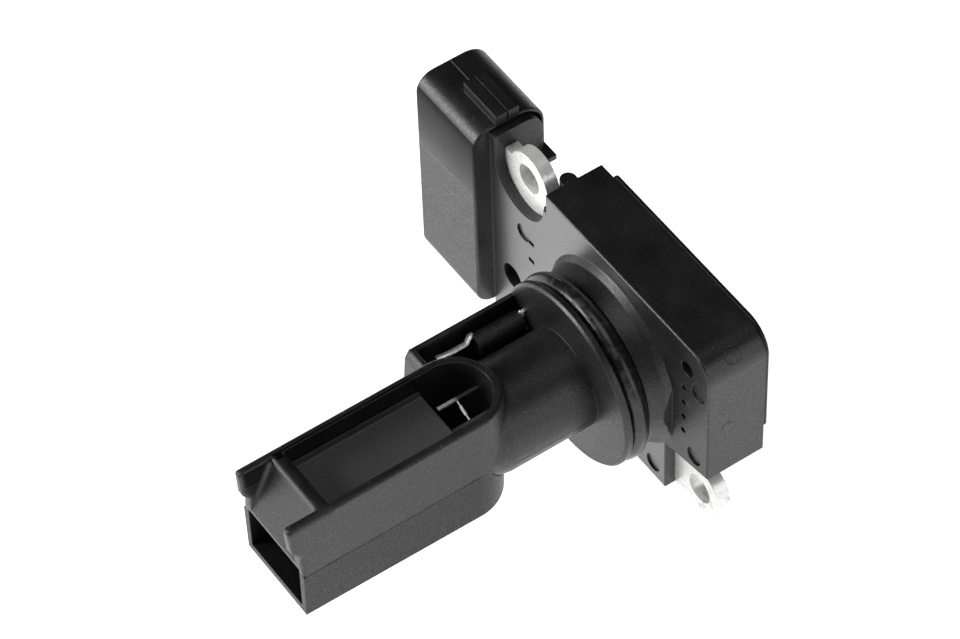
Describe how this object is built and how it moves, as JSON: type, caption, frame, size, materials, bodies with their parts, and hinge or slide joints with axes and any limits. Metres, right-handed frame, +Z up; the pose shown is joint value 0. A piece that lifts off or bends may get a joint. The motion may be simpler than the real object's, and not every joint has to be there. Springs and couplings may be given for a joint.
{
  "type": "mass airflow sensor",
  "caption": "Plug-in mass airflow sensor: oblong probe with air passage and hot wire, round sealed spigot, flat electronics box, connector socket and metal screw bushes.",
  "frame": {"origin": "On the axis of the round spigot, in the plane of the flange face that seats on the air duct.", "axes": "-Y is the way the probe points into the duct, +X runs from the connector to the far end of the electronics box, +Z is up across the housing towards the passage's open side."},
  "size_m": [0.0643, 0.0664, 0.0385],
  "materials": {
    "black_plastic": "satin, fine grain",
    "cover_plastic": "satin",
    "seal_rubber": "slightly shiny",
    "bush_metal": "bright, lightly scuffed",
    "contact_metal": "tinned",
    "wire_metal": "bright",
    "bead_glass": "glassy white coating",
    "board_green": "lacquered",
    "chip_black": "matte",
    "capacitor_tan": "fired",
    "resistor_dark": "fired",
    "solder": "bright",
    "gel_clear": "clear, soft"
  },
  "bodies": {
    "root": {"board_capacitors": "capacitor_tan", "board_resistors": "resistor_dark", "bush_lower": "bush_metal", "bush_upper": "bush_metal", "circuit_board": "board_green", "cold_wire_element": "bead_glass", "cold_wire_strip_a": "wire_metal", "cold_wire_strip_b": "wire_metal", "contact_blade_1": "contact_metal", "contact_blade_2": "contact_metal", "contact_blade_3": "contact_metal", "contact_blade_4": "contact_metal", "contact_blade_5": "contact_metal", "control_chip": "chip_black", "hot_wire_element": "bead_glass", "hot_wire_strip_a": "wire_metal", "hot_wire_strip_b": "wire_metal", "housing": "black_plastic", "passage_cover": "cover_plastic", "potting_gel": "gel_clear", "rear_cover": "cover_plastic", "seal_ring": "seal_rubber", "solder_joints": "solder", "temperature_lead_far": "wire_metal", "temperature_lead_near": "wire_metal", "temperature_sleeve": "chip_black", "temperature_strip_far": "wire_metal", "temperature_strip_near": "wire_metal"}
  },
  "joints": []
}
